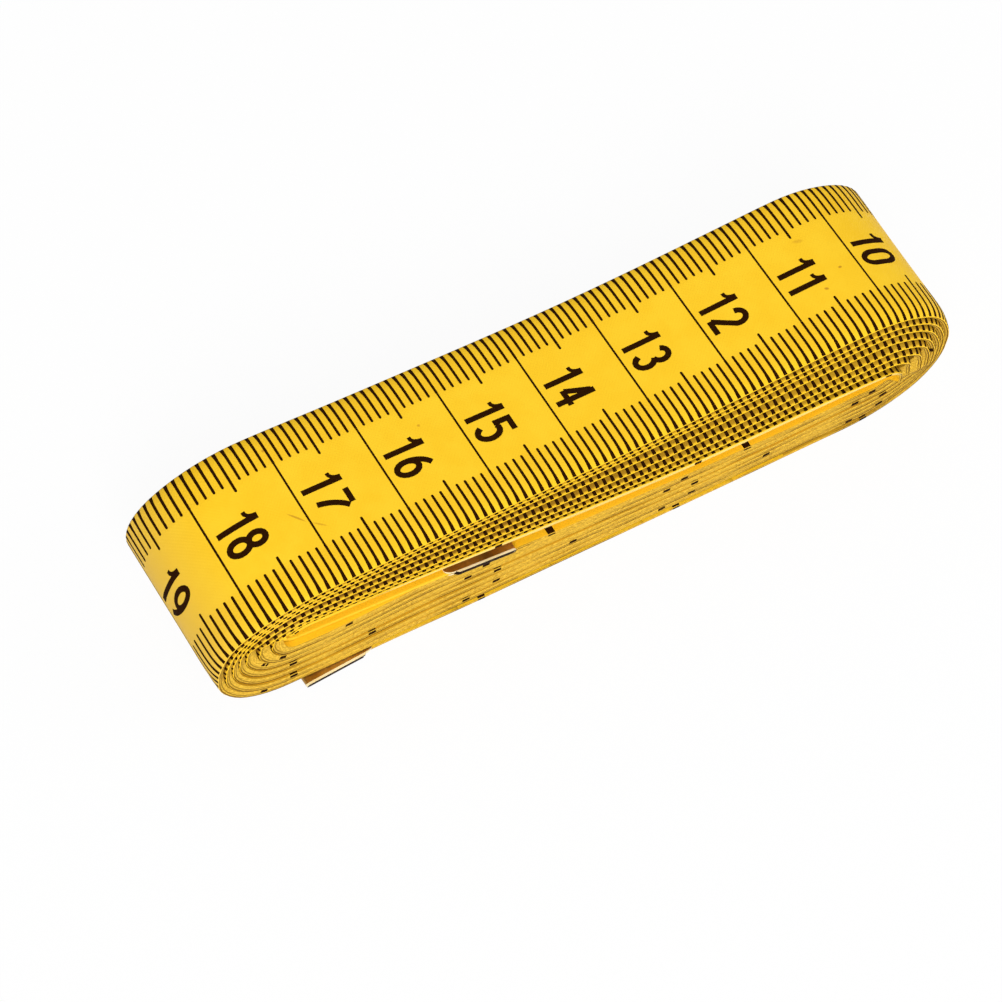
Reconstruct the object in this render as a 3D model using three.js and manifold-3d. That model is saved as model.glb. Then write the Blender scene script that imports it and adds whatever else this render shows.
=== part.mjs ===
// Cloth tape measure, wound loosely into a flat coil, with a folded brass clip on each end.
// Millimetres, +Z up. The tape's width runs along Y and the coil's length along X.
import * as THREE from 'three';
import { mergeVertices } from 'three/addons/utils/BufferGeometryUtils.js';
import Module from 'manifold-3d';

// The tape
const TAPE_LENGTH = 1500;
const TAPE_WIDTH = 20;
const TAPE_THICKNESS = 0.4;

// The winding: whole turns round a slot, and where both ends lie, measured from the slot's left tip
const TURNS = 8;
const SLOT_HEIGHT = 2.6;
const INNER_END_REACH = 27.8;
const OUTER_END_REACH = 3.9;

// The clip on each end: one strip of brass sheet folded over the tape
const CLIP_LENGTH = 8;
const CLIP_SHEET = 0.25;
const CLIP_CLEARANCE = 0.08;
const CLIP_OVERHANG = 0.65;
const CLIP_CORNER_RADIUS = 1.3;
const CLIP_END_GAP = 0.3;

// Air between neighbouring turns. Along the bottom a clip lies between two turns with some room.
const GAP_LEFT = 0.7;
const GAP_RIGHT = 0.54;
const GAP_TOP_LEFT = 0.31;
const GAP_TOP_RIGHT = 0.72;
const CLIP_ROOM_LEFT = 0.33;
const CLIP_ROOM_RIGHT = 0.15;

// Shape of each turn: length of a rounded end over half its height, longer at the upper left, and
// sag of the top runs, which is deepest right of their middle and greater for the inner turns
const END_STRETCH_LEFT = 1.15;
const SHOULDER_STRETCH_LEFT = 1.75;
const END_STRETCH_RIGHT = 1.35;
const INNER_SAG = 1.3;
const OUTER_SAG = 0.9;
const SAG_SKEW = 1.3;

// The outer end lies on its clip, and each turn above it gives way by a share of that height
const LIFT_RUN = 14;
const LIFT_SHARE = 0.5;

// Each turn further in stands out sideways a little, more at the right end than at the left
const TURN_STAGGER = 0.09;
const STAGGER_PER_LENGTH = 0.0036;

// Loose ends: short lengths of tape with a bending line between neighbours
const TAIL_PIECES = 4;
const TAIL_PIECE_LENGTH = 12;
const INNER_TAIL_LENGTH = 25;
const BEND_GAP = 0.3;

// Steps of one turn
const RUN_STEPS = 6;
const END_STEPS = 10;
const FINE_STEPS = 5;
const CORNER_STEPS = 6;
const NEIGHBOUR_ARC = 6;

const CLIP_PROUD = CLIP_CLEARANCE + CLIP_SHEET;
const PITCH = {
  left: TAPE_THICKNESS + GAP_LEFT,
  right: TAPE_THICKNESS + GAP_RIGHT,
  topLeft: TAPE_THICKNESS + GAP_TOP_LEFT,
  topRight: TAPE_THICKNESS + GAP_TOP_RIGHT,
  bottomLeft: TAPE_THICKNESS + CLIP_PROUD + CLIP_ROOM_LEFT,
  bottomRight: TAPE_THICKNESS + CLIP_PROUD + CLIP_ROOM_RIGHT,
};
const HALF_SLOT = (SLOT_HEIGHT + TAPE_THICKNESS) / 2;

// The left tip of the slot is raised so that the outermost bottom run lies level
const LEFT_RISE = PITCH.bottomLeft * (TURNS + 0.25) - PITCH.bottomRight * TURNS;

// Point on one rounded end of a turn, at an angle from +X, after that many turns from the inside
function endPoint(slotLength, isLeft, turns, angle) {
  const top = isLeft ? PITCH.topLeft : PITCH.topRight;
  const bottom = isLeft ? PITCH.bottomLeft : PITCH.bottomRight;
  const half = HALF_SLOT + turns * (top + bottom) / 2;
  const middle = (isLeft ? LEFT_RISE : 0) + turns * (top - bottom) / 2;
  const tip = (slotLength + TAPE_THICKNESS) / 2 + turns * (isLeft ? PITCH.left : PITCH.right);
  const z = middle + half * Math.sin(angle);
  if (isLeft) {
    const stretch = Math.sin(angle) > 0 ? SHOULDER_STRETCH_LEFT : END_STRETCH_LEFT;
    return new THREE.Vector2(-tip + stretch * half * (1 + Math.cos(angle)), z);
  }
  return new THREE.Vector2(tip - END_STRETCH_RIGHT * half * (1 - Math.cos(angle)), z);
}

// Straight run under or over the slot, as its two ends
function runEnds(slotLength, quarter) {
  const isBottom = quarter % 4 === 0;
  const angle = (isBottom ? -0.5 : 0.5) * Math.PI;
  const from = endPoint(slotLength, !isBottom, quarter / 4, angle);
  const to = endPoint(slotLength, isBottom, (quarter + 1) / 4, angle);
  return [from, to];
}

// Place on a bottom run, counted in quarter turns, of a reach measured from the slot's left tip
function quartersAtReach(slotLength, quarter, reach) {
  const [from, to] = runEnds(slotLength, quarter);
  return quarter + (from.x + slotLength / 2 - reach) / (from.x - to.x);
}

// Point on the winding. Each turn has four quarters: bottom run, left end, top run, right end.
function windingPoint(slotLength, quarters) {
  const quarter = Math.floor(quarters);
  const along = quarters - quarter;
  const kind = quarter % 4;
  const turnsAbove = TURNS - Math.floor(quarter / 4);
  const lift = CLIP_PROUD * LIFT_SHARE ** turnsAbove;
  if (kind === 3) {
    return endPoint(slotLength, false, quarters / 4, (0.5 - along) * Math.PI);
  }
  if (kind === 1) {
    const point = endPoint(slotLength, true, quarters / 4, (1.5 - along) * Math.PI);
    point.y += lift * Math.cos(Math.PI * Math.min(0.5, along)) ** 2;
    return point;
  }
  const [from, to] = runEnds(slotLength, quarter);
  const point = from.lerp(to, along);
  if (kind === 2) {
    const sag = THREE.MathUtils.lerp(INNER_SAG, OUTER_SAG, quarters / (4 * TURNS));
    point.y -= sag * Math.sin(Math.PI * along ** SAG_SKEW) ** 2;
  } else {
    const liftStart = OUTER_END_REACH + CLIP_LENGTH + LIFT_RUN - slotLength / 2;
    point.y += lift * THREE.MathUtils.smoothstep(liftStart - point.x, 0, LIFT_RUN);
  }
  return point;
}

// The winding from the inner end outwards, as closely spaced points with their distance along it
function windTape(slotLength) {
  const first = quartersAtReach(slotLength, 0, INNER_END_REACH);
  const last = quartersAtReach(slotLength, 4 * TURNS, OUTER_END_REACH);
  const stops = [{ quarters: first, coarse: true }];
  for (let quarter = 0; quarter <= 4 * TURNS; quarter += 1) {
    const steps = (quarter % 2 === 0 ? RUN_STEPS : END_STEPS) * FINE_STEPS;
    for (let step = 1; step <= steps; step += 1) {
      const quarters = quarter + step / steps;
      if (quarters > first && quarters < last) {
        stops.push({ quarters, coarse: step % FINE_STEPS === 0 });
      }
    }
  }
  stops.push({ quarters: last, coarse: true });
  let length = 0;
  let before = null;
  return stops.map((stop) => {
    const point = windingPoint(slotLength, stop.quarters);
    length += before ? point.distanceTo(before) : 0;
    before = point;
    return { ...stop, point, length };
  });
}

// The slot's length is the one for which the tape's whole length is used up between its two ends
let slotLength = TAPE_LENGTH / (2 * TURNS);
let path = windTape(slotLength);
while (Math.abs(path.at(-1).length - TAPE_LENGTH) > 1e-6) {
  slotLength += (TAPE_LENGTH - path.at(-1).length) / (2 * TURNS);
  path = windTape(slotLength);
}

// Station at a distance from the outer end: place, outward normal and sideways shift of the tape
function stationAt(fromOuterEnd) {
  const length = path.at(-1).length - fromOuterEnd;
  const next = Math.max(1, path.findIndex((entry) => entry.length >= length));
  const a = path[next - 1];
  const b = path[next];
  const share = (length - a.length) / (b.length - a.length);
  const before = path[Math.max(0, next - 2)].point;
  const after = path[Math.min(path.length - 1, next + 1)].point;
  const tangentA = b.point.clone().sub(before).normalize();
  const tangentB = after.clone().sub(a.point).normalize();
  const tangent = tangentA.lerp(tangentB, share).normalize();
  return {
    point: a.point.clone().lerp(b.point, share),
    normal: new THREE.Vector2(-tangent.y, tangent.x),
    quarters: a.quarters + share * (b.quarters - a.quarters),
    tangent,
  };
}

function sidewaysShift(station) {
  const turnsInward = (path.at(-1).quarters - station.quarters) / 4;
  return -turnsInward * (TURN_STAGGER + STAGGER_PER_LENGTH * station.point.x);
}

// Solid length of tape between two distances from the outer end, in finer steps where it is loose
function tapeGeometry(fromEnd, toEnd, isLoose) {
  const stops = path.filter((entry) => entry.coarse || isLoose);
  const marks = stops.map((entry) => TAPE_LENGTH - entry.length);
  const inside = marks.filter((mark) => mark > fromEnd + BEND_GAP && mark < toEnd - BEND_GAP);
  const stations = [toEnd, ...inside, fromEnd].map(stationAt);
  const positions = [];
  for (const station of stations) {
    const near = sidewaysShift(station);
    for (const [side, y] of [[1, near], [1, near + TAPE_WIDTH], [-1, near + TAPE_WIDTH], [-1, near]]) {
      const corner = station.point.clone().addScaledVector(station.normal, side * TAPE_THICKNESS / 2);
      positions.push(corner.x, y, corner.y);
    }
  }
  const indices = [0, 1, 2, 0, 2, 3];
  for (let ring = 0; ring < stations.length - 1; ring += 1) {
    for (let side = 0; side < 4; side += 1) {
      const a = ring * 4 + side;
      const b = ring * 4 + (side + 1) % 4;
      indices.push(a, a + 4, b, b, a + 4, b + 4);
    }
  }
  const last = (stations.length - 1) * 4;
  indices.push(last, last + 2, last + 1, last, last + 3, last + 2);
  const geometry = new THREE.BufferGeometry();
  geometry.setAttribute('position', new THREE.Float32BufferAttribute(positions, 3));
  geometry.setIndex(indices);
  geometry.computeVertexNormals();
  return geometry;
}

// Least gap between turns, from each point of the winding to every stretch that isn't its neighbour
function leastGap() {
  const flat = path.map((entry) => new THREE.Vector3(entry.point.x, 0, entry.point.y));
  const closest = new THREE.Vector3();
  let least = Infinity;
  for (let i = 0; i < path.length; i += 1) {
    for (let j = 0; j < i - 1; j += 1) {
      if (path[i].length - path[j + 1].length > NEIGHBOUR_ARC) {
        new THREE.Line3(flat[j], flat[j + 1]).closestPointToPoint(flat[i], true, closest);
        least = Math.min(least, closest.distanceTo(flat[i]));
      }
    }
  }
  return least - TAPE_THICKNESS;
}

const wasm = await Module();
wasm.setup();

function toSolid(geometry) {
  const bare = geometry.clone();
  bare.deleteAttribute('normal');
  bare.deleteAttribute('uv');
  const merged = mergeVertices(bare, 1e-4);
  const vertProperties = new Float32Array(merged.attributes.position.array);
  const triVerts = new Uint32Array(merged.index.array);
  return new wasm.Manifold(new wasm.Mesh({ numProp: 3, vertProperties, triVerts }));
}

function toGeometry(solid) {
  const { vertProperties, triVerts } = solid.getMesh();
  const geometry = new THREE.BufferGeometry();
  geometry.setAttribute('position', new THREE.BufferAttribute(vertProperties, 3));
  geometry.setIndex(new THREE.BufferAttribute(triVerts, 1));
  geometry.computeVertexNormals();
  return geometry;
}

// Folded clip: local X runs from the fold along the tape, Y across it, Z out of its face.
// The tape's end face is at X = 0 and the middle of its width at Y = 0.
function clipGeometry() {
  const inner = TAPE_THICKNESS / 2 + CLIP_CLEARANCE;
  const outer = inner + CLIP_SHEET;
  const width = TAPE_WIDTH + 2 * CLIP_OVERHANG;
  const fold = inner - CLIP_END_GAP;
  const tip = fold - outer + CLIP_LENGTH;
  const section = new THREE.Shape();
  section.moveTo(tip, outer);
  section.lineTo(fold, outer);
  section.absarc(fold, 0, outer, Math.PI / 2, Math.PI * 1.5, false);
  section.lineTo(tip, -outer);
  section.lineTo(tip, -inner);
  section.lineTo(fold, -inner);
  section.absarc(fold, 0, inner, Math.PI * 1.5, Math.PI / 2, true);
  section.lineTo(tip, inner);
  section.closePath();
  const plain = { bevelEnabled: false, curveSegments: CORNER_STEPS };
  const bent = new THREE.ExtrudeGeometry(section, { ...plain, depth: width });
  bent.rotateX(Math.PI / 2);
  bent.translate(0, width / 2, 0);

  const corner = Math.min(CLIP_CORNER_RADIUS, width / 2);
  const spare = outer;
  const outline = new THREE.Shape();
  outline.moveTo(fold - outer - spare, -width / 2 - spare);
  outline.lineTo(tip - corner, -width / 2 - spare);
  outline.lineTo(tip - corner, -width / 2);
  outline.absarc(tip - corner, -width / 2 + corner, corner, -Math.PI / 2, 0, false);
  outline.absarc(tip - corner, width / 2 - corner, corner, 0, Math.PI / 2, false);
  outline.lineTo(tip - corner, width / 2 + spare);
  outline.lineTo(fold - outer - spare, width / 2 + spare);
  outline.closePath();
  const depth = 2 * (outer + spare);
  const blank = new THREE.ExtrudeGeometry(outline, { ...plain, depth });
  blank.translate(0, 0, -depth / 2);
  return toGeometry(toSolid(bent).intersect(toSolid(blank)));
}

const tapeMaterial = new THREE.MeshStandardMaterial({ color: 0xf6c52f, roughness: 0.55, metalness: 0 });
const brassMaterial = new THREE.MeshStandardMaterial({ color: 0xb5904a, roughness: 0.35, metalness: 1 });

const tape = new THREE.Group();

function addMesh(name, geometry, material) {
  const mesh = new THREE.Mesh(geometry, material);
  mesh.name = name;
  tape.add(mesh);
  return mesh;
}

// Lays a clip over the tape's end at a distance from the outer end, reaching along the tape
function addClip(name, fromOuterEnd, towardsInside) {
  const station = stationAt(fromOuterEnd);
  const along = station.tangent.clone().multiplyScalar(towardsInside ? -1 : 1);
  const clip = addMesh(name, clipGeometry(), brassMaterial);
  clip.position.set(station.point.x, sidewaysShift(station) + TAPE_WIDTH / 2, station.point.y);
  clip.rotation.y = Math.atan2(-along.y, along.x);
}

const tailLength = TAIL_PIECES * TAIL_PIECE_LENGTH;
const innerTailStart = TAPE_LENGTH - INNER_TAIL_LENGTH;
const coil = tapeGeometry(tailLength + BEND_GAP / 2, innerTailStart - BEND_GAP / 2, false);
addMesh('tape_coil', coil, tapeMaterial);
for (let piece = 1; piece <= TAIL_PIECES; piece += 1) {
  const from = (piece - 1) * TAIL_PIECE_LENGTH + (piece === 1 ? 0 : BEND_GAP / 2);
  const to = piece * TAIL_PIECE_LENGTH - BEND_GAP / 2;
  addMesh(`tape_tail_${piece}`, tapeGeometry(from, to, true), tapeMaterial);
}
const innerTail = tapeGeometry(innerTailStart + BEND_GAP / 2, TAPE_LENGTH, true);
addMesh('tape_inner_tail', innerTail, tapeMaterial);
addClip('outer_clip', 0, true);
addClip('inner_clip', TAPE_LENGTH, false);
console.log(`Slot length ${slotLength.toFixed(2)} mm, least gap between turns ${leastGap().toFixed(3)} mm`);

// The coil stands with its lowest face at Z = 0, centred over the origin
const part = new THREE.Group();
part.add(tape);
const box = new THREE.Box3().setFromObject(tape);
const centre = box.getCenter(new THREE.Vector3());
tape.position.set(-centre.x, -centre.y, -box.min.z);

export default part;
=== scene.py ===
import math

import bpy
import numpy as np
from mathutils import Matrix, Vector


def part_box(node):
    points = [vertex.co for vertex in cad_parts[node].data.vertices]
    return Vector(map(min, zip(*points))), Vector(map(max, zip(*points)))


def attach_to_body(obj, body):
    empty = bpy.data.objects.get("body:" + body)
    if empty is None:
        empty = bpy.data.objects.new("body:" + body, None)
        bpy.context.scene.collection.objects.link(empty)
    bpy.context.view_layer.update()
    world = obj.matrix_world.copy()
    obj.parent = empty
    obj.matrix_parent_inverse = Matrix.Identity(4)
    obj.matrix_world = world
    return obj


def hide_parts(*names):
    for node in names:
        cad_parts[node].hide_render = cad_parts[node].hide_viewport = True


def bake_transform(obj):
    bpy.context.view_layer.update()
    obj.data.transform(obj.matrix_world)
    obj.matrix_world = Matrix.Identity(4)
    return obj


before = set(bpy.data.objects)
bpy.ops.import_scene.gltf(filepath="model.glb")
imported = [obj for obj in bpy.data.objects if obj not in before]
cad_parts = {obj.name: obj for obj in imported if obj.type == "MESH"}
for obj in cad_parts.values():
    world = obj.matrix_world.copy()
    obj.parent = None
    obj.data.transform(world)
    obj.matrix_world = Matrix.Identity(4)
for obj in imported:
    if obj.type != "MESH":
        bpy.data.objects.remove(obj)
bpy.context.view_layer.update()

MM = 0.001

# The tape and its winding, in millimetres, as in the part's source
TAPE_LENGTH = 1500.0
TAPE_WIDTH = 20.0
CORE_THICKNESS = 0.4
TURNS = 8
SLOT_HEIGHT = 2.6
INNER_END_REACH = 27.8
OUTER_END_REACH = 3.9
GAP_LEFT = 0.7
GAP_RIGHT = 0.54
GAP_TOP_LEFT = 0.31
GAP_TOP_RIGHT = 0.72
CLIP_ROOM_LEFT = 0.33
CLIP_ROOM_RIGHT = 0.15
END_STRETCH_LEFT = 1.15
SHOULDER_STRETCH_LEFT = 1.75
END_STRETCH_RIGHT = 1.35
INNER_SAG = 1.3
OUTER_SAG = 0.9
SAG_SKEW = 1.3
LIFT_RUN = 14.0
LIFT_SHARE = 0.5
TURN_STAGGER = 0.09
STAGGER_PER_LENGTH = 0.0036
TAIL_PIECE_LENGTH = 12.0
RUN_STEPS = 44
END_STEPS = 30
SLOT_TRIALS = 40

# The folded brass clips, in millimetres
CLIP_LENGTH = 8.0
CLIP_SHEET = 0.25
CLIP_CLEARANCE = 0.08
CLIP_OVERHANG = 0.65
CLIP_END_GAP = 0.3
CLIP_LOWER_INSET = 0.25
CLIP_RIM = 0.28
CLIP_RIM_SHARE = 0.25
CLIP_BEARING = 4.0
CLIP_SIDE_STEPS = 8
CLIP_FOLD_STEPS = 14
CLIP_LEG_STEPS = 12
CLIP_EDGE_ROUND = 0.03
CLIP_EDGE_STEPS = 3
CLIP_EDGE_ANGLE = 50

# How each clip sits in the photograph, in millimetres, with its skew as a slope
OUTER_CLIP_SHAPE = {"shift": 1.5, "extra": 0.45, "skew": 0.06,
                    "nearer": 0.25, "corner": 0.45, "cut": 1.1}
INNER_CLIP_SHAPE = {"shift": 0.55, "extra": 0.6, "skew": 0.05,
                    "nearer": 0.0, "corner": 0.9, "cut": 1.6}

# Sizes that follow from these
CLIP_PROUD = CLIP_CLEARANCE + CLIP_SHEET
PITCH_LEFT = CORE_THICKNESS + GAP_LEFT
PITCH_RIGHT = CORE_THICKNESS + GAP_RIGHT
PITCH_TOP_LEFT = CORE_THICKNESS + GAP_TOP_LEFT
PITCH_TOP_RIGHT = CORE_THICKNESS + GAP_TOP_RIGHT
PITCH_BOTTOM_LEFT = CORE_THICKNESS + CLIP_PROUD + CLIP_ROOM_LEFT
PITCH_BOTTOM_RIGHT = CORE_THICKNESS + CLIP_PROUD + CLIP_ROOM_RIGHT
HALF_SLOT = (SLOT_HEIGHT + CORE_THICKNESS) / 2
LEFT_RISE = PITCH_BOTTOM_LEFT * (TURNS + 0.25) - PITCH_BOTTOM_RIGHT * TURNS

# The cloth as it looks, in millimetres
OUTER_FACE = CORE_THICKNESS / 2
INNER_FACE = 0.22
LAYER_GAP = 0.06
EDGE_ROUND = 0.07
EDGE_STEP = 0.3
ROW_GAP = 0.05
ACROSS_MARGIN = [EDGE_ROUND, 0.25, 0.5, 0.8, 1.15, 1.55, 2.0, 2.6, 3.4, 5.0]
ACROSS_MIDDLE = [8.0, 12.0]

# Where soft layers fill the room up to the next turn; ahead is 1 on the runs over the slot and -1 under it
THICK_FROM = 60.0
THICK_FULL = 90.0
FILL_FROM = 0.75
FILL_SOONER_RIGHT = 0.2
FILL_RUN = 0.6
COVERED_QUARTERS = (4.02, 4.14)
ROOF_TURNS = (TURNS - 0.53, TURNS - 0.3)
ROOF_RUN = 0.06
ROOF_EXTRA = 0.2

# How the turns lie in the photograph, in millimetres, turns from the outer end, and shares ahead
RUN_AHEAD = (0.35, 0.85)
RIGHT_PART = (25.0, 37.0)
SWAYS = ((0.035, 37.0, 0.0), (0.025, 13.7, 1.0), (0.012, 5.3, 2.0))
INNER_SWAY = 2.5
HIDDEN_FROM = (0.8, 1.4)
HIDDEN_TO = (TURNS - 0.6, TURNS - 1.1)
SLIPPED_TURNS = (2.0, 6.0)
INNER_SLIP = 0.5
INNER_SLIP_PER_LENGTH = -0.0055
TURN_SLIPS = (0.0, -0.1, -0.25, -0.33, -0.3, -0.3, -0.1, -0.2, -0.2)
TURN_SLIP_MIDDLE = 5.0
TURN_SLIP_RUN = 30.0
BOTTOM_SLIP = 0.35
INNER_TAIL_SLIP = -0.3
INNER_TAIL_MARKS = (1445.0, 1475.0)
FLOOR_SHIFT_PLACES = (-34.0, -22.0, 15.0, 25.0, 35.0)
FLOOR_SHIFTS = (0.0, 0.9, 0.95, 1.2, 1.7)
ARCH_HEIGHT = 0.5
ARCH_POWER = 11
ARCHED_TURNS = (TURNS - 0.75, TURNS - 1.25)
ARCH_EXTRA_RIGHT = 0.12
ARCH_LOSS_RIGHT = 0.5
NEAR_ARCH_AHEAD = (-0.55, -0.05)
SHOULDER_LIFT = 0.7
SHOULDER_MIDDLE = -36.0
SHOULDER_RUN = 10.0
SHOULDER_AHEAD = (-0.1, 0.4)
TUCK_RUN = 9.0
TUCK_PAST_TIP = 1.1
TUCK_TURNS = (0.0, 1.0, 5.0, 8.0)
TUCK_LEFT = (0.15, 0.15, -0.6, 0.9)
TUCK_RIGHT = (-0.3, -0.5, -1.0, 1.2)
FLARE_RIGHT = 0.6

# The printed scale, in millimetres; a tick's half widths are shares of its width
SCALE_START = 0.05
TICK_WIDTH = 0.32
TICK_ROOT = 1.0
TICK_FOOT = 0.72
TICK_NECK = 0.52
TICK_TIP = ((0.46, 0.5), (0.32, 0.14))
LINE_WIDTH = 0.24
NEAR_TICK = 4.74
FAR_TICK = 4.4
HALF_TICK_EXTRA = 1.05
INK_LIFT = 0.012
INK_LAYER = 0.004
DIGIT_HEIGHT = 4.75
DIGIT_WIDTH = 2.3
ONE_WIDTH = 1.55
DIGIT_STROKE = 0.68
FLAG_STROKE = 0.46
DIGIT_GAP = 0.8
DIGIT_FOOT = 0.85
NUMBER_MIDDLE = 9.95
SEAM_MARGIN = 0.2
INCH = 25.4
INCH_BAR_WIDTH = 0.9
INCH_BAR_LENGTH = 6.0
INCH_BAR_MARGIN = 0.6
INCH_START = 21.0
INCH_BLEED = 0.5

# Colours of the cloth, the ink and the brass, as linear red, green and blue
YELLOW = (0.975, 0.585, 0.016)
YELLOW_PALE = (0.995, 0.622, 0.022)
YELLOW_MARGIN = (0.80, 0.43, 0.012)
# Painted sheen: a greyer, darker tint over the left end
YELLOW_SHEEN_LEFT_END = (0.82, 0.51, 0.055)
# Painted shade: deeper orange on the back face away from its edges, as under the slot's roof
BACK_SHADE_ORANGE = (0.88, 0.44, 0.008)
# Painted shade: darker back faces of the packed turns
YELLOW_COVERED_SHADE = (0.54, 0.29, 0.014)
# Painted shade between the turns
SHADE_BETWEEN_TURNS = (0.20, 0.085, 0.004)
# Small dark marks of stains and creases
DARK_MARK_COLOUR = (0.42, 0.16, 0.010)
EDGE_DARK = (0.46, 0.25, 0.018)
EDGE_LIGHT = (0.88, 0.55, 0.055)
EDGE_PATCH = (0.84, 0.53, 0.045)
# Painted shade: dark lines between the layers on the cut edge
EDGE_SHADE_LINE = (0.13, 0.055, 0.003)
# Pale threads with a painted highlight along the slot roof's edge
ROOF_EDGE = (0.98, 0.71, 0.20)
SLOT_FLOOR_EDGE = (0.95, 0.58, 0.03)
INK_DARK = (0.020, 0.0055, 0.0006)
INK_WORN = (0.050, 0.017, 0.0015)
# Dark brass tones: tarnish, darkened further as painted shade for the dark slot the clip faces reflect
BRASS_SHADES = (0.40, 0.21, 0.04), (0.55, 0.33, 0.08)
# Painted highlight: pale cream tones on the clip's rim
RIM_SHADES = (0.96, 0.82, 0.44), (0.99, 0.92, 0.62)
# Painted shade: near-black tones on the clip's side edges and lower leg
CUT_SHADES = (0.02, 0.008, 0.003), (0.05, 0.02, 0.006)

# Detail of the cloth and the ink, in millimetres of tape, with noise scales per millimetre
WEAVE_PITCH = 0.46
WEAVE_SHARE = 0.5
GRAIN_SCALE = 5.5
GRAIN_HEIGHT = 0.05 * MM
MOTTLE_SCALE = 0.25
MARGIN_NEAR = (5.2, 3.8)
MARGIN_FAR = (15.0, 16.2)
MARGIN_SHARE = 0.5
# Marks between which the painted sheen of the left end lies
SHEEN_FROM = (178.0, 190.0)
SHEEN_TO = (216.0, 206.0)
# Where the painted shade between the turns fades towards the right
SHADE_FADE_RIGHT = (-30.0, 36.0)
THREAD_STRETCH = (1.0, 2.6, 1.0)
THREAD_SCALE = 2.2
THREAD_HEIGHT = 0.1 * MM
PATCH_SCALE = 0.35
PATCH_SHARE = 0.35
# Painted shade lines between the layers on the cut edge
SHADE_LINE_DEPTH = (0.32, 0.12)
SECOND_SHADE_LINE_DEPTH = CORE_THICKNESS + 0.04
SECOND_SHADE_LINE_REACH = (0.1, 0.02)
SECOND_SHADE_LINE_SHARE = 0.75
SHADE_LINE_PATCH_SCALE = 0.05
SHADE_LINE_PATCHES = (0.47, 0.58)
SHADE_LINE_LEAST = 0.12
SHADE_LINE_MOST = 0.95
SHADE_LINES_RIGHT = (30.0, 36.0)
SHADE_LINES_LEFT = (-32.0, -38.0)
ROOF_EDGE_RUN = 4.0
ROOF_EDGE_SHARE = 0.8
SLOT_FLOOR_EDGE_RUN = 8.0
INK_SCALE = 4.5

# Detail of the brass, with noise scales per metre
SCRATCH_STRETCH = (400.0, 9000.0, 4000.0)
SCRATCH_HEIGHT = 0.04 * MM
TARNISH_SCALE = 420.0

# Small dark marks of stains and creases: place along and across the tape, half sizes, turn and strength
DARK_MARKS = (
    ((170.2, 17.6), (0.25, 0.25), 0.0, 0.6), ((171.0, 8.8), (1.3, 0.16), 0.9, 0.6),
    ((169.2, 7.0), (1.0, 0.14), 0.7, 0.45), ((153.8, 13.0), (0.22, 0.22), 0.0, 0.5),
    ((104.5, 13.9), (0.8, 0.3), 0.3, 0.3), ((102.2, 8.8), (0.3, 0.2), 0.0, 0.7),
    ((105.1, 7.0), (0.35, 0.22), 0.5, 0.7),
)

# Camera, fitted to the printed marks of the photograph, in metres
CAMERA_EYE = Vector((-0.14084, -0.17201, 0.34491))
CAMERA_FORWARD = Vector((0.33155, 0.42146, -0.84407))
CAMERA_RIGHT = Vector((0.85713, -0.50841, 0.08282))
CAMERA_LENS = 131.2
CAMERA_NEAR = 0.01
SENSOR = 36.0

# Studio, in metres and watts: even light all round and three soft lights as name, place, size and power
WORLD_LIGHT = 0.36
SOFT_LIGHTS = (("front", (-0.40, -0.75, 0.74), 0.6, 10.4), ("back", (0.4, 0.5, 0.9), 0.7, 1.3),
               ("right", (0.75, -0.35, 0.45), 0.5, 1.8))
LIGHT_TARGET = Vector((0, 0, 0.01))
FLOOR_HALF_SIZE = 3.0
FLOOR_WHITE = 0.9
FLOOR_GLOW = 0.94
FLOOR_DROP = 0.00002


def ease(value, start, stop):
    """Rises smoothly from 0 at the start to 1 at the stop, which may be the lower of the two."""
    share = np.clip((value - start) / (stop - start), 0.0, 1.0)
    return share * share * (3 - 2 * share)


def end_point(slot, is_left, turns, angle):
    """Points on the rounded ends of a turn, counted in turns from the inside."""
    top = PITCH_TOP_LEFT if is_left else PITCH_TOP_RIGHT
    bottom = PITCH_BOTTOM_LEFT if is_left else PITCH_BOTTOM_RIGHT
    half = HALF_SLOT + turns * (top + bottom) / 2
    middle = (LEFT_RISE if is_left else 0.0) + turns * (top - bottom) / 2
    tip = (slot + CORE_THICKNESS) / 2 + turns * (PITCH_LEFT if is_left else PITCH_RIGHT)
    z = middle + half * math.sin(angle)
    if is_left:
        stretch = SHOULDER_STRETCH_LEFT if math.sin(angle) > 0 else END_STRETCH_LEFT
        return np.array([-tip + stretch * half * (1 + math.cos(angle)), z])
    return np.array([tip - END_STRETCH_RIGHT * half * (1 - math.cos(angle)), z])


def run_ends(slot, quarter):
    """The two ends of a straight run under or over the slot."""
    is_bottom = quarter % 4 == 0
    angle = (-0.5 if is_bottom else 0.5) * math.pi
    from_end = end_point(slot, not is_bottom, quarter / 4, angle)
    return from_end, end_point(slot, is_bottom, (quarter + 1) / 4, angle)


def quarters_at_reach(slot, quarter, reach):
    """Place on a bottom run, in quarter turns, at a reach from the slot's left tip."""
    start, stop = run_ends(slot, quarter)
    return quarter + (start[0] + slot / 2 - reach) / (start[0] - stop[0])


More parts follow.
